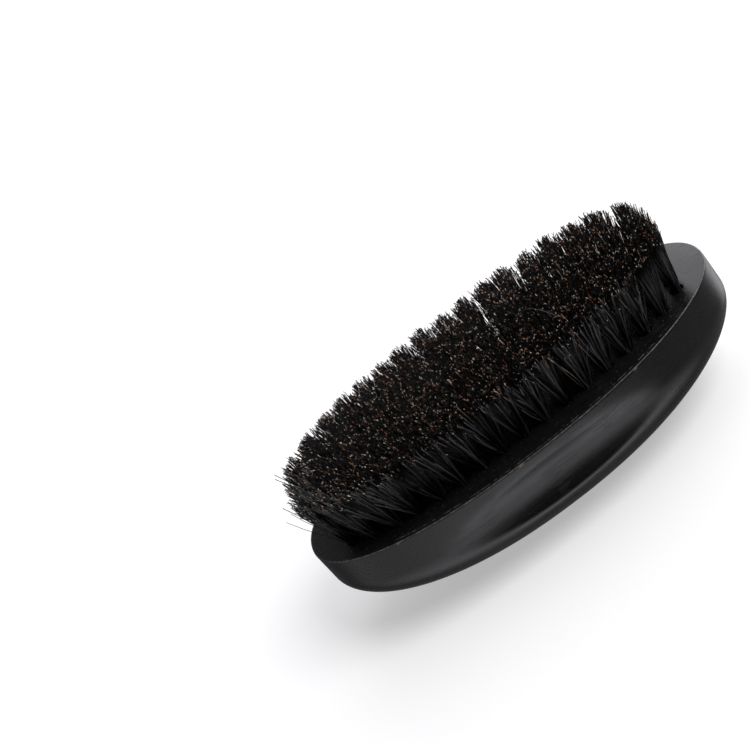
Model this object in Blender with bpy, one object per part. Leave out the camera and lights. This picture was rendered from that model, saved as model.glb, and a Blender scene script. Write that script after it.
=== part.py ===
"""Beard brush: an oval palm block of black wood filled with rows of boar bristle.

Units are metres, +Z is up and the bristles point up. The origin is the middle of
the small flat under the block. The length runs along X and the width along Y.

wood_block      one-piece block: flat bristle face, convex back, a finger groove
                in each long side, one blind hole for each tuft
tuft_row_NN     one row of tufts across the brush; each tuft has its own root in
                its own hole and the tips of a row meet at the top
"""
import random
from math import cos, pi, radians, sin, sqrt

import bmesh
import bpy

# block
LENGTH = 0.125
WIDTH = 0.060
BLOCK_HEIGHT = 0.030
OUTLINE_POWER = 2.17        # 2 is an ellipse, more is squarer
EDGE_ROUND = 0.00045        # round between the bristle face and the side wall
WALL_HEIGHT = 0.009         # upright part of the side, below the face
BACK_POWER = 1.95           # roundness of the convex back
BACK_FLAT = 0.155           # flat under the back, as a share of the outline

# finger grooves
GROOVE_BELOW_FACE = 0.0102  # its deepest line
GROOVE_DEPTH = 0.0032
GROOVE_ABOVE = 0.0074       # reach above and below the deepest line
GROOVE_UNDER = 0.0060
GROOVE_HALF_LENGTH = 0.031
GROOVE_SOFT_TOP = 0.0010    # rounding of its upper edge and of its crisper lower lip
GROOVE_SOFT_LIP = 0.0005

# tufts
ROWS = 17
ROW_PITCH = 0.0064
TUFT_PITCH = 0.0050         # across the brush, before a row is spread to the outline
FIELD_HALF_LENGTH = 0.0548  # outline that the outer roots follow
FIELD_HALF_WIDTH = 0.020
FIELD_POWER = 2.6
HOLE_RADIUS = 0.0018
HOLE_DEPTH = 0.0080
CLEARANCE = 0.0003          # air between separate pieces
BRISTLE_LENGTH = 0.0166     # above the face
SPREAD_X = 1.065            # tip spacing over root spacing
SPREAD_Y = 1.20
TIP_OVERLAP = 0.0002        # how far neighbours of a row run into each other

BLOCK_SIDES = 72
BACK_RINGS = 18
HOLE_SIDES = 12
TUFT_SIDES = 8


def clear_scene():
    for obj in list(bpy.data.objects):
        bpy.data.objects.remove(obj, do_unlink=True)


def make_material(name, colour, roughness):
    material = bpy.data.materials.new(name)
    material.use_nodes = True
    shader = material.node_tree.nodes["Principled BSDF"]
    shader.inputs["Base Color"].default_value = (*colour, 1.0)
    shader.inputs["Roughness"].default_value = roughness
    return material


def loft(rings, top_point=None):
    """Closed mesh through rings listed from the bottom up, each turning left."""
    mesh = bmesh.new()
    loops = [[mesh.verts.new(point) for point in ring] for ring in rings]
    for low, high in zip(loops, loops[1:]):
        for i, vert in enumerate(low):
            j = (i + 1) % len(low)
            mesh.faces.new((vert, low[j], high[j], high[i]))
    mesh.faces.new(list(reversed(loops[0])))
    if top_point is None:
        mesh.faces.new(loops[-1])
    else:
        apex = mesh.verts.new(top_point)
        top = loops[-1]
        for i, vert in enumerate(top):
            mesh.faces.new((vert, top[(i + 1) % len(top)], apex))
    return mesh


def merge_into(target, source):
    """Add the bmesh source to the bmesh target and free it."""
    holder = bpy.data.meshes.new("holder")
    source.to_mesh(holder)
    source.free()
    target.from_mesh(holder)
    bpy.data.meshes.remove(holder)


def make_object(name, mesh):
    data = bpy.data.meshes.new(name)
    mesh.to_mesh(data)
    mesh.free()
    obj = bpy.data.objects.new(name, data)
    bpy.context.collection.objects.link(obj)
    return obj


def boolean(obj, other, operation):
    """Apply an exact Boolean to obj and remove the other object."""
    step = obj.modifiers.new(operation.lower(), "BOOLEAN")
    step.solver = "EXACT"
    step.operation = operation
    step.object = other
    bpy.context.view_layer.objects.active = obj
    bpy.ops.object.modifier_apply(modifier=step.name)
    bpy.data.objects.remove(other, do_unlink=True)


def finish(obj, material):
    """One material, smooth rounds and crisp edges."""
    obj.data.materials.clear()
    obj.data.materials.append(material)
    for face in obj.data.polygons:
        face.material_index = 0
        face.use_smooth = True
    obj.data.set_sharp_from_angle(angle=radians(40))


def signed_power(value, power):
    return abs(value) ** power if value >= 0 else -abs(value) ** power


def outline(half_length, half_width, power, sides):
    """Points of a superellipse, turning left seen from above."""
    points = []
    for i in range(sides):
        angle = 2 * pi * i / sides
        x = half_length * signed_power(cos(angle), 2 / power)
        y = half_width * signed_power(sin(angle), 2 / power)
        points.append((x, y))
    return points


def groove_cut(x, z):
    """How far the finger groove goes in at this place on the side wall."""
    rise = z - BLOCK_HEIGHT + GROOVE_BELOW_FACE
    across = rise / (GROOVE_ABOVE if rise > 0 else GROOVE_UNDER)
    cut = GROOVE_DEPTH * (1 - (x / GROOVE_HALF_LENGTH) ** 2 - across ** 2)
    share = min(1, max(0, 0.5 + 0.5 * across))
    soft = GROOVE_SOFT_LIP + (GROOVE_SOFT_TOP - GROOVE_SOFT_LIP) * share
    return 0.5 * (cut + sqrt(cut ** 2 + soft ** 2))


def block_profile():
    """(inset, shrink, height) of each ring of the block, from the bottom up."""
    wall_foot = BLOCK_HEIGHT - WALL_HEIGHT
    flat_drop = 1 - (1 - BACK_FLAT ** BACK_POWER) ** (1 / BACK_POWER)
    rings = []
    for i in range(BACK_RINGS + 1):
        share = (i / BACK_RINGS) ** 0.75
        angle = share * pi / 2
        shrink = BACK_FLAT + (1 - BACK_FLAT) * sin(angle)
        drop = (1 - shrink ** BACK_POWER) ** (1 / BACK_POWER) if shrink < 1 else 0
        rings.append((0, shrink, wall_foot * (1 - drop / (1 - flat_drop))))
    wall_top = BLOCK_HEIGHT - EDGE_ROUND
    for i in range(1, 8):
        rings.append((0, 1, wall_foot + (wall_top - wall_foot) * i / 7))
    for i in range(1, 4):
        angle = i * pi / 6
        rings.append((EDGE_ROUND * (1 - cos(angle)), 1, wall_top + EDGE_ROUND * sin(angle)))
    return rings


def block_mesh():
    rings = []
    for inset, shrink, height in block_profile():
        ring = []
        flat = outline(LENGTH / 2 - inset, WIDTH / 2 - inset, OUTLINE_POWER, BLOCK_SIDES)
        for x, y in flat:
            x, y = x * shrink, y * shrink
            cut = min(groove_cut(x, height) * min(1, abs(y) / 0.012), abs(y))
            ring.append((x, y - cut if y > 0 else y + cut, height))
        rings.append(ring)
    return loft(rings)


def row_layout():
    """Row number, x of the row, spacing of its tufts and the y of each root."""
    layout = []
    for row in range(ROWS):
        x = (row - (ROWS - 1) / 2) * ROW_PITCH
        room = 1 - abs(x / FIELD_HALF_LENGTH) ** FIELD_POWER
        reach = FIELD_HALF_WIDTH * room ** (1 / FIELD_POWER)
        count = round(2 * reach / TUFT_PITCH) + (1 if row % 2 == 0 else 0)
        pitch = 2 * reach / (count - 1)
        roots = [-reach + i * pitch for i in range(count)]
        layout.append((row + 1, x, pitch, roots))
    return layout


def hole_mesh(x, y):
    rings = []
    for height in (BLOCK_HEIGHT - HOLE_DEPTH, BLOCK_HEIGHT + 0.002):
        circle = outline(HOLE_RADIUS, HOLE_RADIUS, 2, HOLE_SIDES)
        rings.append([(x + dx, y + dy, height) for dx, dy in circle])
    return loft(rings)


def make_block(material):
    block = make_object("wood_block", block_mesh())
    drills = bmesh.new()
    for _, x, _, roots in row_layout():
        for y in roots:
            merge_into(drills, hole_mesh(x, y))
    boolean(block, make_object("drills", drills), "DIFFERENCE")
    finish(block, material)


def tuft_mesh(x, y, pitch, length):
    """One tuft: straight in its hole, then flaring and leaning outwards."""
    root = HOLE_RADIUS - CLEARANCE
    tip_x = ROW_PITCH * SPREAD_X / 2 - CLEARANCE / 2
    tip_y = pitch * SPREAD_Y / 2 + TIP_OVERLAP
    foot = BLOCK_HEIGHT - HOLE_DEPTH + CLEARANCE
    rings = []
    for height, share in ((foot, 0), (BLOCK_HEIGHT, 0), (BLOCK_HEIGHT + length / 2, 0.5),
                          (BLOCK_HEIGHT + length, 1)):
        half_x = root + (tip_x - root) * share
        half_y = root + (tip_y - root) * share
        centre_x = x * (1 + (SPREAD_X - 1) * share)
        centre_y = y * (1 + (SPREAD_Y - 1) * share)
        flat = outline(half_x, half_y, 2 + 2 * share, TUFT_SIDES)
        rings.append([(centre_x + dx, centre_y + dy, height) for dx, dy in flat])
    apex = (x * SPREAD_X, y * SPREAD_Y, BLOCK_HEIGHT + length + 0.0003)
    return loft(rings, apex)


def make_row(number, x, pitch, roots, material):
    """Every second tuft goes in one mesh and the rest are joined on to it."""
    chance = random.Random(number)
    halves = [bmesh.new(), bmesh.new()]
    for i, y in enumerate(roots):
        length = BRISTLE_LENGTH + chance.uniform(-0.0002, 0.0001)
        merge_into(halves[i % 2], tuft_mesh(x, y, pitch, length))
    row = make_object(f"tuft_row_{number:02d}", halves[0])
    boolean(row, make_object("other_tufts", halves[1]), "UNION")
    finish(row, material)


def build():
    clear_scene()
    wood = make_material("black_wood", (0.012, 0.012, 0.013), 0.38)
    bristle = make_material("boar_bristle", (0.022, 0.017, 0.014), 0.55)
    make_block(wood)
    for number, x, pitch, roots in row_layout():
        make_row(number, x, pitch, roots, bristle)


build()
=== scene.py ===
"""Looks of the beard brush: black satin block, boar bristle hair by hair, studio light.

Units are metres. The frame puts the origin under the block, the length along X, the
width along Y and the bristles up, along +Z. Sizes repeat those of the CAD part.
"""

from math import cos, pi, radians, sin

import bpy
import numpy as np
from mathutils import Matrix, Vector


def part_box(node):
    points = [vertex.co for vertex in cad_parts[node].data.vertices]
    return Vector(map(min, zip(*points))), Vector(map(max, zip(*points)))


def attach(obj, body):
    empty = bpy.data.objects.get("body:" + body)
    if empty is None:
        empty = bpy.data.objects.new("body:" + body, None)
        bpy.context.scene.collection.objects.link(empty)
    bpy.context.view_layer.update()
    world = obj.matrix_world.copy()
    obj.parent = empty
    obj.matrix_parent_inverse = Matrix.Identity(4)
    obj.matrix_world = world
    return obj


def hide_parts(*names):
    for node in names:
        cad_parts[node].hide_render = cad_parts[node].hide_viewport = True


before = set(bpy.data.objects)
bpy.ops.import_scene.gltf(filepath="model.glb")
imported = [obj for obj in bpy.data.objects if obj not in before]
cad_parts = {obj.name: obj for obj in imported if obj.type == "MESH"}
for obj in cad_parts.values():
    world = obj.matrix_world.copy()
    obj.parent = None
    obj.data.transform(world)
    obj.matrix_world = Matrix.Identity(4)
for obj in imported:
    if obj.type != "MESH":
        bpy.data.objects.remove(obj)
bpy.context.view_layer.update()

# block
BLOCK_LOW, BLOCK_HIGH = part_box("wood_block")
HALF_LENGTH = (BLOCK_HIGH[0] - BLOCK_LOW[0]) / 2
HALF_WIDTH = 0.030
FACE_Z = BLOCK_HIGH[2]
OUTLINE_POWER = 2.17
EDGE_ROUND = 0.00045
WALL_HEIGHT = 0.009
BACK_POWER = 1.95
BACK_FLAT = 0.155
GROOVE_BELOW_FACE = 0.0102
GROOVE_DEPTH = 0.0032
GROOVE_ABOVE = 0.0074
GROOVE_UNDER = 0.0060
GROOVE_HALF_LENGTH = 0.031
GROOVE_SOFT_TOP = 0.0010
GROOVE_SOFT_LIP = 0.0005
GROOVE_FADE = 0.012         # the grooves fade out this near to the long axis
BLOCK_SIDES = 640
BACK_RINGS = 90
WALL_RINGS = 25
EDGE_RINGS = 7
CHIPS = ((-0.0052, 0.0010), (0.0305, 0.0006), (-0.0410, 0.0005))    # place along X, half length
CHIP_HALF_HEIGHT = 0.0003
# the inner line is a painted highlight on the face, along the arris
INNER_LINE = 0.915          # share of the outline's sum at which the inner line runs

# tufts
ROWS = 17
ROW_PITCH = 0.0064
TUFT_PITCH = 0.0050
FIELD_HALF_LENGTH = 0.0548
FIELD_HALF_WIDTH = 0.020
FIELD_POWER = 2.6
HOLE_RADIUS = 0.0018
HOLE_DEPTH = 0.0080
HOLE_SIDES = 20
WIRE_RADIUS = 0.0002
SPREAD_X = 1.065            # tip spacing over root spacing
SPREAD_Y = 1.20
FAR_SPREAD_Y = 1.24         # the far side leans out a little more
TIP_HEIGHT = 0.0168         # trimmed flat, above the face
TIP_HALF_LENGTH = 0.0580    # outline that the trimmed tips keep to
TIP_HALF_WIDTH = 0.0286
TIP_LEAN = -0.0006          # the whole field leans this far along X at the tips

# hair
LOOSENESS = 1.33            # width of a tuft's tips over the tuft spacing, on the long axis
FAR_TIGHTENING = 0.27       # how much less it is at the far edge, and more at the near one
HAIRS_PER_TUFT = 96
FAR_SIDE = 0.6 * FIELD_HALF_WIDTH   # tufts beyond this place along Y are on the far side
FAR_HAIRS = 112
FAR_RADIUS = 0.000120
FAR_DOME = 0.0017           # how much lower the edge of a far tuft is than its middle
# the outermost hairs on the near side, short of the right end, get a painted sheen; the far side and the
# right end stay dark as in shade
RIM_REACH = 0.86            # near-side hairs outside this share of the outline are the outermost
RIM_SIDE = 0.006            # they end here along Y
RIM_END = 0.044             # and here along X
REACHING_SHARE = 0.04       # hairs of the -X half that may go past the outline
STRAY_REACH = 0.06          # by this share of it
ROOT_RADIUS = 0.00095
HAIR_RADIUS = 0.000100
HAIR_SIDES = 5
HAIR_TAPER = np.array([1.0, 1.0, 1.0, 0.98, 0.94, 0.90])
PRONG_TAPER = np.array([0.85, 0.65])
GOLDEN_ANGLE = 2.39996
TIP_SCATTER = 0.00045
STRAY_SHARE = 0.05          # hairs that scatter three times as far
SHORT_SHARE = 0.16          # hairs worn or cut short, by up to SHORT_BY
SHORT_BY = 0.0030
FAR_SHORT_SHARE = 0.06
RIM_SHORT_SHARE = 0.40
RIM_SHORT_BY = 0.0050
BLOND_SHARE = 0.004
PALE_ROWS = (10, 12, 13, 15)    # rows with one pale hair on the near side
LOOSE_HAIR_ROW = 12
# the loose hair gets the painted sheen of the outermost hairs, which makes it grey
LOOSE_HAIR_TONE = 1.95      # a grey one
LOOSE_HAIR = ((0.0177, -0.0005), (0.0199, -0.0023), (0.0215, -0.0063), (0.0231, -0.0118), (0.0246, -0.0171))

# camera and light
CAMERA_AT = Vector((0.01416, -0.35568, 0.23337))
CAMERA_AIM = Vector((-0.02146, 0.00945, 0.05344))
CAMERA_ROLL = radians(-40.71)
CAMERA_LENS = 76.74
LIGHT_FROM = Vector((0.56, -0.40, 0.72))
FLOOR_RADIUS = 3.0

# the room's directions in the frame of the brush, which lies tilted in it
ROOM_UP = (0.61, 0.066, 0.79)
ROOM_BACK = (0.130, 0.975, -0.181)
ROOM_RIGHT = (0.782, -0.213, -0.586)
SOFT_BOX = (0.53, 0.30, 0.79)


# ---------------------------------------------------------------- small helpers

def signed_power(value, power):
    return np.sign(value) * np.abs(value) ** power


def outline(half_length, half_width, power, sides):
    """Superellipse seen from above, as two arrays x and y."""
    angle = np.arange(sides) * 2 * pi / sides
    x = half_length * signed_power(np.cos(angle), 2 / power)
    y = half_width * signed_power(np.sin(angle), 2 / power)
    return x, y


def new_mesh_object(name, verts, faces):
    mesh = bpy.data.meshes.new(name)
    mesh.from_pydata(verts, [], faces)
    mesh.validate()
    obj = bpy.data.objects.new(name, mesh)
    bpy.context.collection.objects.link(obj)
    return obj


def shade_smooth(obj, sharp_angle=None):
    obj.data.polygons.foreach_set("use_smooth", [True] * len(obj.data.polygons))
    if sharp_angle is not None:
        obj.data.set_sharp_from_angle(angle=sharp_angle)


class Nodes:
    """Short way to write a node tree."""

    def __init__(self, tree):
        self.tree = tree
        tree.nodes.clear()

    def add(self, kind, inputs=None, **settings):
        node = self.tree.nodes.new(kind)
        for key, value in settings.items():
            setattr(node, key, value)
        for key, value in (inputs or {}).items():
            if isinstance(value, bpy.types.NodeSocket):
                self.tree.links.new(value, node.inputs[key])
            else:
                node.inputs[key].default_value = value
        return node

    def math(self, operation, a, b=0.0, c=0.0, clamp=False):
        node = self.add("ShaderNodeMath", {0: a, 1: b, 2: c}, operation=operation)
        node.use_clamp = clamp
        return node.outputs[0]

    def dot(self, vector, direction):
        node = self.add("ShaderNodeVectorMath", {0: vector, 1: direction}, operation="DOT_PRODUCT")
        return node.outputs["Value"]

    def smooth(self, value, low, high, out_low=0.0, out_high=1.0):
        node = self.add("ShaderNodeMapRange", {0: value, 1: low, 2: high, 3: out_low, 4: out_high},
                        interpolation_type="SMOOTHSTEP")
        return node.outputs[0]

    def noise(self, vector, scale, detail=2.0, roughness=0.5):
        node = self.add("ShaderNodeTexNoise", {"Vector": vector, "Scale": scale,
                                               "Detail": detail, "Roughness": roughness})
        return node.outputs["Fac"]

    def stretched(self, vector, scale):
        node = self.add("ShaderNodeMapping", {"Vector": vector, "Scale": scale})
        return node.outputs["Vector"]

    def mix(self, factor, a, b):
        node = self.add("ShaderNodeMix", {0: factor}, data_type="RGBA")
        for socket, value in ((6, a), (7, b)):
            if isinstance(value, bpy.types.NodeSocket):
                self.tree.links.new(value, node.inputs[socket])
            else:
                node.inputs[socket].default_value = (*value, 1.0)
        return node.outputs[2]


def new_material(name):
    material = bpy.data.materials.new(name)
    material.use_nodes = True
    return material, Nodes(material.node_tree)


# ---------------------------------------------------------------- materials

def grain_lines(n, place, facing):
    """Fine dark lines along the grain, in patches, and none on the ends of the block."""
    lines = n.noise(n.stretched(place, (28, 700, 700)), 1.0, 2.0, 0.5)
    lines = n.smooth(n.math("ABSOLUTE", n.math("SUBTRACT", lines, 0.5)), 0.015, 0.003)
    lines = n.math("MULTIPLY", lines, n.smooth(n.noise(place, 75.0, 1.0), 0.55, 0.60))
    return n.math("MULTIPLY", lines, n.smooth(n.math("ABSOLUTE", facing.outputs["X"]), 0.60, 0.30))


def dust_specks(n, place, height):
    """Pale specks, most of them on the face."""
    cells = n.add("ShaderNodeTexVoronoi", {"Vector": place, "Scale": 1500.0, "Randomness": 1.0})
    pick = n.add("ShaderNodeSeparateColor", {0: cells.outputs["Color"]}).outputs[0]
    speck = n.smooth(cells.outputs["Distance"], 0.24, 0.10)
    speck = n.math("MULTIPLY", speck, n.smooth(pick, 0.74, 0.80))
    return n.math("MULTIPLY", speck, n.smooth(height, 0.5, 0.95, 0.14, 0.75))


def painted_arris_highlights(n, place, height):
    """Painted highlight along the arris, and a faint broken painted highlight line that follows it on the
    face.
    """
    axes = n.add("ShaderNodeSeparateXYZ", {0: place})
    total = 0.0
    for axis, half in (("X", HALF_LENGTH), ("Y", HALF_WIDTH)):
        share = n.math("ABSOLUTE", n.math("DIVIDE", axes.outputs[axis], half))
        total = n.math("ADD", total, n.math("POWER", share, OUTLINE_POWER))
    broken = n.smooth(n.noise(place, 900.0, 3.0, 0.6), 0.44, 0.58)
    arris = n.math("MULTIPLY", n.smooth(height, 0.35, 0.6), n.smooth(height, 0.97, 0.85))
    inner = n.smooth(n.math("ABSOLUTE", n.math("SUBTRACT", total, INNER_LINE)), 0.007, 0.002)
    inner = n.math("MULTIPLY", inner, n.math("MULTIPLY", n.smooth(height, 0.97, 0.99), broken))
    middle = n.smooth(n.math("ABSOLUTE", axes.outputs["X"]), 0.046, 0.034)
    inner = n.math("MULTIPLY", inner, middle)
    return n.math("MAXIMUM", n.math("MULTIPLY", arris, n.smooth(broken, 0.0, 1.0, 0.25, 0.55)), inner)


def wood_material():
    """Black stain under thin satin lacquer: pores, grain lines, dust, chips in the lacquer of the edge, and
    a painted highlight along the arris.
    """
    material, n = new_material("black_wood_satin")
    place = n.add("ShaderNodeTexCoord").outputs["Object"]
    grain = n.noise(n.stretched(place, (90, 1500, 1500)), 1.0, 3.0, 0.6)
    pores = n.noise(n.stretched(place, (500, 3800, 3800)), 1.0, 2.0, 0.5)
    peel = n.noise(place, 1100.0, 3.0, 0.55)
    patches = n.noise(place, 60.0, 3.0, 0.55)
    normal = n.add("ShaderNodeNewGeometry").outputs["Normal"]
    facing = n.add("ShaderNodeSeparateXYZ", {0: normal})
    lines = grain_lines(n, place, facing)
    speck = dust_specks(n, place, facing.outputs["Z"])
    sheen_rim = painted_arris_highlights(n, place, facing.outputs["Z"])
    worn = n.add("ShaderNodeAttribute", attribute_name="worn").outputs["Fac"]

    colour = n.mix(n.smooth(grain, 0.3, 0.7), (0.0045, 0.0045, 0.0048), (0.0090, 0.0088, 0.0088))
    colour = n.mix(speck, colour, (0.20, 0.195, 0.19))
    # painted highlight: light grey along the arris and on the inner line
    colour = n.mix(sheen_rim, colour, (0.24, 0.24, 0.24))
    colour = n.mix(worn, colour, (0.24, 0.15, 0.11))
    colour = n.mix(n.math("MULTIPLY", lines, 0.5), colour, (0.001, 0.001, 0.001))

    rough = n.math("ADD", n.smooth(patches, 0.3, 0.7, 0.22, 0.30), n.smooth(pores, 0.45, 0.75, 0.0, 0.10))
    rough = n.math("MAXIMUM", rough, n.math("MULTIPLY", speck, 0.8))
    rough = n.math("MAXIMUM", rough, n.math("MULTIPLY", lines, 0.38))

    bump = n.math("ADD", n.math("MULTIPLY", pores, 0.5), n.math("MULTIPLY", grain, 0.45))
    bump = n.math("ADD", bump, n.math("MULTIPLY", peel, 0.8))
    bump = n.math("ADD", bump, n.math("MULTIPLY", speck, 1.5))
    bump = n.math("SUBTRACT", bump, n.math("MULTIPLY", lines, 1.0))
    surface = n.add("ShaderNodeBump", {"Strength": 0.6, "Distance": 0.00004, "Height": bump})

    shader = n.add("ShaderNodeBsdfPrincipled", {"Base Color": colour, "Roughness": rough,
                                                "Normal": surface.outputs["Normal"]})
    shader.inputs["IOR"].default_value = 1.5
    n.add("ShaderNodeOutputMaterial", {"Surface": shader.outputs[0]})
    return material


def bristle_material():
    """Boar hair: black, some hairs grey from a painted sheen, the upper part of the inner hairs darker with
    painted shade, pale or ginger split tips (the palest partly painted glints), a few hairs blond.

    The attribute "hair" holds the place along the hair, a random number for each hair
    (plus 1 on the outermost near-side hairs, which are painted with more sheen) and 1 on the blond ones.
    """
    material, n = new_material("boar_bristle_hair")
    hair = n.add("ShaderNodeAttribute", attribute_name="hair")
    parts = n.add("ShaderNodeSeparateColor", {0: hair.outputs["Color"]})
    along, chance, blond = parts.outputs[0], parts.outputs[1], parts.outputs[2]
    place = n.add("ShaderNodeTexCoord").outputs["Object"]

    draw = n.math("FRACT", chance)
    # painted sheen: a grey base colour on some hairs, stronger on the outermost near-side ones
    sheen_grey = n.math("MULTIPLY", n.smooth(draw, 0.56, 0.82), n.smooth(chance, 0.99, 1.0, 0.8, 1.35))
    shaft = n.mix(sheen_grey, (0.0018, 0.0017, 0.0017), (0.092, 0.092, 0.095))
    # painted shade: the upper part of all but the outermost hairs is made darker, as deep among the tips
    painted_top_shade = n.math("MULTIPLY", n.smooth(along, 0.65, 0.92), n.smooth(chance, 1.0, 0.99))
    shaft = n.mix(painted_top_shade, shaft, (0.0014, 0.0012, 0.0011))
    tip = n.smooth(along, 0.965, 0.985)
    # split ends from ginger to pale; the palest, near white, are partly painted glints
    tip_tone_and_glint = n.mix(n.smooth(n.noise(place, 800.0), 0.45, 0.60), (0.38, 0.16, 0.075), (1.0, 0.88, 0.77))
    bright = n.smooth(n.math("FRACT", n.math("MULTIPLY", draw, 17.0)), 0.81, 0.91, 0.008, 1.0)
    colour = n.mix(n.math("MULTIPLY", tip, bright), shaft, tip_tone_and_glint)
    colour = n.mix(blond, colour, n.mix(draw, (0.30, 0.17, 0.07), (0.62, 0.48, 0.38)))

    streaks = n.noise(n.stretched(place, (3000, 3000, 300)), 1.0, 2.0)
    shader = n.add("ShaderNodeBsdfPrincipled", {"Base Color": colour,
                                                "Roughness": n.smooth(streaks, 0.3, 0.7, 0.26, 0.42)})
    shader.inputs["IOR"].default_value = 1.5
    shader.inputs["Specular IOR Level"].default_value = 0.22
    n.add("ShaderNodeOutputMaterial", {"Surface": shader.outputs[0]})
    return material


def wire_material():
    material, n = new_material("anchor_wire_steel")
    place = n.add("ShaderNodeTexCoord").outputs["Object"]
    drawn = n.noise(n.stretched(place, (400, 6000, 6000)), 1.0)
    colour = n.mix(drawn, (0.45, 0.44, 0.42), (0.6, 0.59, 0.57))
    shader = n.add("ShaderNodeBsdfPrincipled", {"Base Color": colour,
                                                "Roughness": n.smooth(drawn, 0.3, 0.7, 0.25, 0.4)})
    shader.inputs["Metallic"].default_value = 1.0
    n.add("ShaderNodeOutputMaterial", {"Surface": shader.outputs[0]})
    return material


# ---------------------------------------------------------------- block

def block_profile():
    """(inset, shrink, height) of each ring of the block, from the bottom up."""
    foot = FACE_Z - WALL_HEIGHT
    flat_drop = 1 - (1 - BACK_FLAT ** BACK_POWER) ** (1 / BACK_POWER)
    rings = []
    for i in range(BACK_RINGS + 1):
        shrink = BACK_FLAT + (1 - BACK_FLAT) * sin((i / BACK_RINGS) ** 0.7 * pi / 2)
        drop = max(0.0, 1 - shrink ** BACK_POWER) ** (1 / BACK_POWER)
        rings.append((0, shrink, foot * (1 - drop / (1 - flat_drop))))
    top = FACE_Z - EDGE_ROUND
    for i in range(1, WALL_RINGS + 1):
        rings.append((0, 1, foot + (top - foot) * i / WALL_RINGS))
    for i in range(1, EDGE_RINGS + 1):
        angle = i * pi / (2 * EDGE_RINGS)
        rings.append((EDGE_ROUND * (1 - cos(angle)), 1, top + EDGE_ROUND * sin(angle)))
    return rings


def groove_cut(x, z):
    """How far the finger groove goes in at this place on the side wall."""
    rise = z - FACE_Z + GROOVE_BELOW_FACE
    across = rise / (GROOVE_ABOVE if rise > 0 else GROOVE_UNDER)
    cut = GROOVE_DEPTH * (1 - (x / GROOVE_HALF_LENGTH) ** 2 - across ** 2)
    share = min(1, max(0, 0.5 + 0.5 * across))
    soft = GROOVE_SOFT_LIP + (GROOVE_SOFT_TOP - GROOVE_SOFT_LIP) * share
    return 0.5 * (cut + np.sqrt(cut ** 2 + soft ** 2))


def block_rings():
    """One array of points for each ring, with the grooves cut in."""
    rings = []
    for inset, shrink, height in block_profile():
        x, y = outline(HALF_LENGTH - inset, HALF_WIDTH - inset, OUTLINE_POWER, BLOCK_SIDES)
        x, y = x * shrink, y * shrink
        cut = groove_cut(x, height) * np.minimum(1, np.abs(y) / GROOVE_FADE)
        y = y - np.sign(y) * np.minimum(cut, np.abs(y))
        rings.append(np.stack([x, y, np.full_like(x, height)], 1))
    return rings


def block_mesh():
    rings = block_rings()
    verts = [tuple(p) for ring in rings for p in ring]
    faces = []
    for r in range(len(rings) - 1):
        for i in range(BLOCK_SIDES):
            j = (i + 1) % BLOCK_SIDES
            a, b = r * BLOCK_SIDES, (r + 1) * BLOCK_SIDES
            faces.append((a + i, a + j, b + j, b + i))
    last = (len(rings) - 1) * BLOCK_SIDES
    faces.append(tuple(reversed(range(BLOCK_SIDES))))
    faces.append(tuple(range(last, last + BLOCK_SIDES)))
    return new_mesh_object("block_black", verts, faces)


def row_layout():
    """x of each row, spacing of its tufts and the y of each root."""
    layout = []
    for row in range(ROWS):
        x = (row - (ROWS - 1) / 2) * ROW_PITCH
        room = 1 - abs(x / FIELD_HALF_LENGTH) ** FIELD_POWER
        reach = FIELD_HALF_WIDTH * room ** (1 / FIELD_POWER)
        count = round(2 * reach / TUFT_PITCH) + (1 if row % 2 == 0 else 0)
        pitch = 2 * reach / (count - 1)
        layout.append((x, pitch, [-reach + i * pitch for i in range(count)]))
    return layout


def drill_holes(block):
    """One blind hole for each tuft, cut in one step."""
    sides = HOLE_SIDES
    verts, faces = [], []
    dx, dy = outline(HOLE_RADIUS, HOLE_RADIUS, 2, sides)
    for x, _, roots in row_layout():
        for y in roots:
            base = len(verts)
            for height in (FACE_Z - HOLE_DEPTH, FACE_Z + 0.002):
                verts += [(x + p, y + q, height) for p, q in zip(dx, dy)]
            low = range(base, base + sides)
            high = range(base + sides, base + 2 * sides)
            faces += [tuple(reversed(low)), tuple(high)]
            faces += [(low[i], low[(i + 1) % sides], high[(i + 1) % sides], high[i]) for i in range(sides)]
    drills = new_mesh_object("drills", verts, faces)
    step = block.modifiers.new("holes", "BOOLEAN")
    step.solver = "EXACT"
    step.operation = "DIFFERENCE"
    step.object = drills
    bpy.context.view_layer.objects.active = block
    bpy.ops.object.modifier_apply(modifier=step.name)
    bpy.data.objects.remove(drills, do_unlink=True)


def add_wear(block):
    """Attribute with the small chips in the lacquer of the near upper edge."""
    mesh = block.data
    coords = np.empty(len(mesh.vertices) * 3)
    mesh.vertices.foreach_get("co", coords)
    coords = coords.reshape(-1, 3)
    worn = np.zeros(len(coords))
    for x, length in CHIPS:
        below = coords[:, 2] - FACE_Z + CHIP_HALF_HEIGHT
        away = np.hypot((coords[:, 0] - x) / length, below / CHIP_HALF_HEIGHT)
        worn = np.maximum(worn, np.clip(1.6 - 1.6 * away, 0, 1) * (coords[:, 1] < 0))
    attribute = mesh.attributes.new("worn", "FLOAT", "POINT")
    attribute.data.foreach_set("value", worn)


def make_block():
    block = block_mesh()
    drill_holes(block)
    add_wear(block)
    shade_smooth(block, radians(28))
    block.data.materials.clear()
    block.data.materials.append(wood_material())
    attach(block, "root")
    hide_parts("wood_block")


# ---------------------------------------------------------------- bristles

def tube_faces(base, rings, sides):
    faces = []
    for r in range(rings - 1):
        a, b = base + r * sides, base + (r + 1) * sides
        for i in range(sides):
            j = (i + 1) % sides
            faces.append((a + i, a + j, b + j, b + i))
    faces.append(tuple(range(base + sides - 1, base - 1, -1)))
    faces.append(tuple(range(base + (rings - 1) * sides, base + rings * sides)))
    return faces


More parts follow.
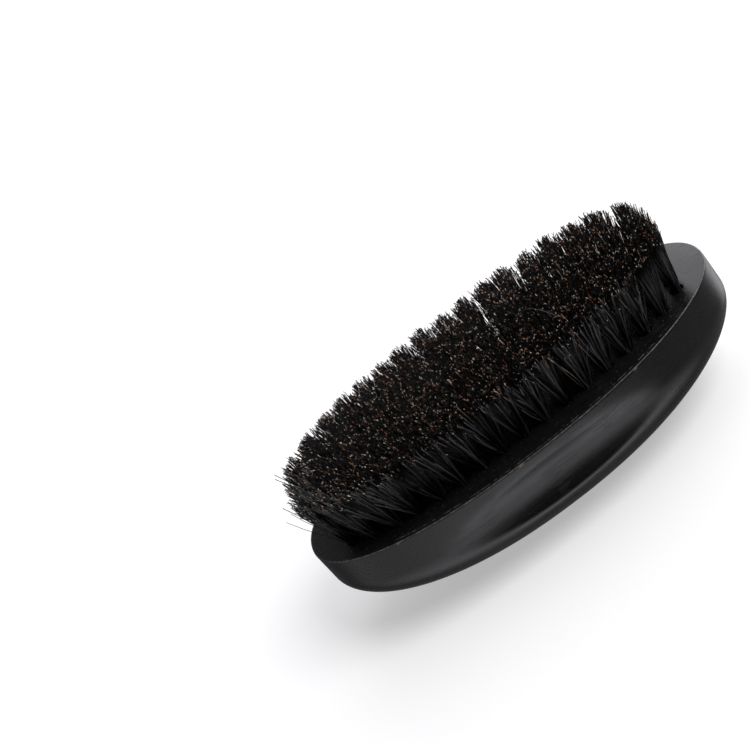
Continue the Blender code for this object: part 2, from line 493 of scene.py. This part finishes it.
def tube_verts(path, radii, sides, turn):
    """Rings of points round a path of points."""
    along = np.gradient(path, axis=0)
    along /= np.linalg.norm(along, axis=1, keepdims=True)
    side = np.cross(along, (cos(turn), sin(turn), 0.05))
    side /= np.linalg.norm(side, axis=1, keepdims=True)
    other = np.cross(along, side)
    angle = np.arange(sides) * 2 * pi / sides
    ring = side[:, None] * np.cos(angle)[None, :, None] + other[:, None] * np.sin(angle)[None, :, None]
    return (path[:, None] + ring * radii[:, None, None]).reshape(-1, 3)


class HairMesh:
    """Gathers hairs and turns them into one mesh with a colour attribute."""

    def __init__(self):
        self.verts, self.faces, self.tone, self.count = [], [], [], 0

    def add(self, path, radii, start, end, chance, blond, turn, sides=HAIR_SIDES):
        points = tube_verts(path, radii, sides, turn)
        self.faces += tube_faces(self.count, len(path), sides)
        self.count += len(points)
        self.verts.append(points)
        along = np.repeat(np.linspace(start, end, len(path)), sides)
        tone = np.stack([along, np.full_like(along, chance), np.full_like(along, blond),
                         np.ones_like(along)], 1)
        self.tone.append(tone)

    def to_object(self, name):
        obj = new_mesh_object(name, np.concatenate(self.verts).tolist(), self.faces)
        attribute = obj.data.color_attributes.new("hair", "FLOAT_COLOR", "POINT")
        attribute.data.foreach_set("color", np.concatenate(self.tone).ravel())
        shade_smooth(obj)
        return obj


def hair_path(rng, root, tip):
    """Points of one hair: up out of the hole, then a slightly bent run to the tip."""
    share = np.array([0, 0.25, 0.5, 0.75, 1.0])
    run = root + (tip - root) * np.stack([share, share, share], 1)
    bend = rng.normal(0, 0.00032, 2)
    curl = rng.normal(0, 0.00014, 2)
    bow = np.sin(share * pi)[:, None] * np.array([bend[0], bend[1], 0])
    wave = np.sin(share * 2 * pi)[:, None] * np.array([curl[0], curl[1], 0])
    inside = np.array([[root[0], root[1], FACE_Z - HOLE_DEPTH + 0.0012]])
    return np.concatenate([inside, run + bow + wave])


def add_hair(mesh, rng, root, tip, radius, sheen_rim, blond):
    """One tapering hair and the two prongs of its split end."""
    path = hair_path(rng, root, tip)
    chance = rng.uniform(0.0, 0.99)
    thick = radius * (rng.uniform(0.75, 1.15) + (0.25 if chance > 0.7 else 0))
    # the outermost hairs get 1 more, so the material paints them with more sheen
    chance += sheen_rim
    turn = rng.uniform(0, 2 * pi)
    mesh.add(path, thick * HAIR_TAPER, 0.0, 0.97, chance, blond, turn)
    along = path[-1] - path[-2]
    along /= np.linalg.norm(along)
    for _ in range(2):
        spread = rng.normal(0, 0.5, 3) * (1, 1, 0.2)
        end = path[-1] + (along + spread) * rng.uniform(0.0002, 0.0005)
        split = np.stack([path[-1] - along * 0.0001, end])
        tone = sheen_rim + rng.uniform(0.0, 0.99)
        mesh.add(split, thick * PRONG_TAPER, 0.985, 1.0, tone, blond, turn, 3)


def outline_share(flat):
    """1 for a tip on the trimmed outline, less inside it."""
    along = abs((flat[0] - TIP_LEAN) / TIP_HALF_LENGTH)
    across = abs(flat[1] / TIP_HALF_WIDTH)
    return (along ** FIELD_POWER + across ** FIELD_POWER) ** (1 / FIELD_POWER)


def add_tuft(mesh, rng, x, y, pitch, pale):
    """A bundle fanning out from its hole, looser on the near side than on the far one."""
    loose = (LOOSENESS - FAR_TIGHTENING * y / FIELD_HALF_WIDTH) * rng.uniform(0.88, 1.14)
    spread_y = FAR_SPREAD_Y if y > 0 else SPREAD_Y
    centre = np.array([x * SPREAD_X + TIP_LEAN, y * spread_y]) + rng.normal(0, TIP_SCATTER, 2)
    cell = np.array([ROW_PITCH * SPREAD_X, pitch * SPREAD_Y]) * 0.5 * loose
    far = y > FAR_SIDE
    hairs = FAR_HAIRS if far else HAIRS_PER_TUFT
    radius = FAR_RADIUS if far else HAIR_RADIUS
    short_share = FAR_SHORT_SHARE if far else SHORT_SHARE
    for i in range(hairs):
        angle = i * GOLDEN_ANGLE + rng.normal(0, 0.25)
        share = ((i + 0.5) / hairs) ** 0.5
        spot = np.array([cos(angle), sin(angle)]) * share
        root = np.array([x + spot[0] * ROOT_RADIUS, y + spot[1] * ROOT_RADIUS, FACE_Z - 0.0010])
        scatter = TIP_SCATTER * (3 if rng.uniform() < STRAY_SHARE else 1)
        flat = centre + spot * cell * rng.uniform(0.8, 1.1) + rng.normal(0, scatter, 2)
        reach = outline_share(flat)
        limit = 1 - rng.uniform(0, 0.035)
        if x < 0 and rng.uniform() < REACHING_SHARE:
            limit += STRAY_REACH
        flat *= min(1, limit / reach)
        # outermost near-side hairs: painted sheen in the material, and more of them cut short
        sheen_rim = 1 if reach > RIM_REACH and flat[1] < RIM_SIDE and flat[0] < RIM_END else 0
        height = TIP_HEIGHT + rng.normal(0, 0.00022) - (FAR_DOME * spot[0] ** 2 if far else 0)
        if rng.uniform() < (RIM_SHORT_SHARE if sheen_rim else short_share):
            height -= rng.uniform(0.0004, RIM_SHORT_BY if sheen_rim else SHORT_BY)
        blond = 1.0 if rng.uniform() < BLOND_SHARE or (pale and i == hairs - 3) else 0.0
        add_hair(mesh, rng, root, np.array([flat[0], flat[1], FACE_Z + height]), radius, sheen_rim, blond)


def add_loose_hair(mesh):
    """One shed hair that lies curved across the trimmed tips."""
    height = FACE_Z + TIP_HEIGHT + 0.0004
    path = np.array([(x, y, height) for x, y in LOOSE_HAIR])
    mesh.add(path, np.full(len(path), HAIR_RADIUS * 0.65), 0.0, 0.9, LOOSE_HAIR_TONE, 0.0, 0.0)


def make_bristles():
    material = bristle_material()
    for number, (x, pitch, roots) in enumerate(row_layout(), 1):
        rng = np.random.default_rng(100 + number)
        mesh = HairMesh()
        for y in roots:
            add_tuft(mesh, rng, x, y, pitch, y == roots[0] and number in PALE_ROWS)
        if number == LOOSE_HAIR_ROW:
            add_loose_hair(mesh)
        row = mesh.to_object(f"bristles_row_{number:02d}")
        row.data.materials.append(material)
        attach(row, "root")
        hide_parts(f"tuft_row_{number:02d}")


def make_anchor_wires():
    """The short wire that pins each folded tuft at the bottom of its hole."""
    mesh = HairMesh()
    height = FACE_Z - HOLE_DEPTH + 0.0008
    for x, _, roots in row_layout():
        for y in roots:
            half = HOLE_RADIUS - 0.0001
            path = np.array([[x - half, y, height - 0.0004], [x - half * 0.7, y, height],
                             [x + half * 0.7, y, height], [x + half, y, height - 0.0004]])
            mesh.add(path, np.full(4, WIRE_RADIUS), 0, 1, 0, 0, pi / 2, 6)
    wires = mesh.to_object("anchor_wires")
    wires.data.materials.append(wire_material())
    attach(wires, "root")


# ---------------------------------------------------------------- stage, light, camera

def make_floor():
    """White paper that shows only a soft shadow; it glows so that it stays white elsewhere."""
    x, y = outline(FLOOR_RADIUS, FLOOR_RADIUS, 2, 96)
    floor = new_mesh_object("floor", [(a, b, 0) for a, b in zip(x, y)], [tuple(range(96))])
    material, n = new_material("floor_paper")
    diffuse = n.add("ShaderNodeBsdfDiffuse", {"Color": (0.72, 0.72, 0.722, 1)})
    glow = n.add("ShaderNodeEmission", {"Color": (1, 1, 1, 1), "Strength": 0.42})
    both = n.add("ShaderNodeAddShader", {0: diffuse.outputs[0], 1: glow.outputs[0]})
    n.add("ShaderNodeOutputMaterial", {"Surface": both.outputs[0]})
    floor.data.materials.append(material)
    floor.visible_glossy = False
    floor.visible_diffuse = False


def make_world():
    """White paper below and behind, dark room on the near side, soft box overhead.

    Each patch of light has smooth edges along the room's directions. The camera itself
    sees plain white.
    """
    world = bpy.data.worlds.new("studio")
    bpy.context.scene.world = world
    world.use_nodes = True
    n = Nodes(world.node_tree)
    way = n.add("ShaderNodeTexCoord").outputs["Generated"]
    up = n.dot(way, ROOM_UP)
    back = n.dot(way, ROOM_BACK)
    right = n.dot(way, ROOM_RIGHT)

    floor = n.smooth(back, 0.36, -0.10, 0.08, 1.0)
    floor = n.math("MULTIPLY", floor, n.smooth(right, -0.3, 0.6, 0.5, 1.28))
    floor = n.math("MULTIPLY", floor, n.smooth(up, -0.15, -0.62))

    horizon = n.smooth(back, -0.75, -0.35, 0.03, 0.25)
    horizon = n.math("MULTIPLY", horizon, n.smooth(up, -0.55, -0.15, 0.4, 1.0))
    horizon = n.math("MULTIPLY", horizon, n.smooth(up, 0.05, 0.30, 1.0, 0.40))

    right_up = n.math("ADD", n.math("MULTIPLY", right, 0.77), n.math("MULTIPLY", up, 0.63))
    behind = n.smooth(right_up, -0.17, 0.04, 0.01, 1.75)
    behind = n.math("MULTIPLY", behind, n.smooth(up, -0.22, 0.10, 0.05, 1.0))
    behind = n.math("MULTIPLY", behind, n.smooth(back, 0.35, 0.75))

    box = n.smooth(n.dot(way, SOFT_BOX), 0.76, 0.92, 0.0, 1.6)
    level = n.math("MAXIMUM", n.math("MAXIMUM", floor, behind), n.math("MAXIMUM", box, horizon))
    light = n.add("ShaderNodeBackground", {"Color": (0.985, 0.980, 1.025, 1), "Strength": level})
    paper = n.add("ShaderNodeBackground", {"Color": (1, 1, 1, 1), "Strength": 1.0})
    eye = n.add("ShaderNodeLightPath").outputs["Is Camera Ray"]
    both = n.add("ShaderNodeMixShader", {0: eye, 1: light.outputs[0], 2: paper.outputs[0]})
    n.add("ShaderNodeOutputWorld", {"Surface": both.outputs[0]})


def make_sun():
    lamp = bpy.data.lights.new("soft_overhead", "SUN")
    lamp.energy = 1.9
    lamp.angle = radians(34)
    obj = bpy.data.objects.new("soft_overhead", lamp)
    obj.rotation_euler = LIGHT_FROM.to_track_quat("Z", "Y").to_euler()
    obj.visible_glossy = False
    bpy.context.collection.objects.link(obj)


def make_camera():
    data = bpy.data.cameras.new("camera")
    data.lens = CAMERA_LENS
    data.sensor_width = 36
    data.clip_start = 0.01
    data.clip_end = 20
    camera = bpy.data.objects.new("camera", data)
    camera.location = CAMERA_AT
    turn = (CAMERA_AIM - CAMERA_AT).to_track_quat("-Z", "Y").to_matrix()
    camera.rotation_euler = (turn @ Matrix.Rotation(CAMERA_ROLL, 3, "Z")).to_euler()
    bpy.context.collection.objects.link(camera)
    bpy.context.scene.camera = camera


def set_tone():
    view = bpy.context.scene.view_settings
    view.view_transform = "Standard"
    view.look = "None"


make_camera()
make_block()
make_bristles()
make_anchor_wires()
make_floor()
make_world()
make_sun()
set_tone()
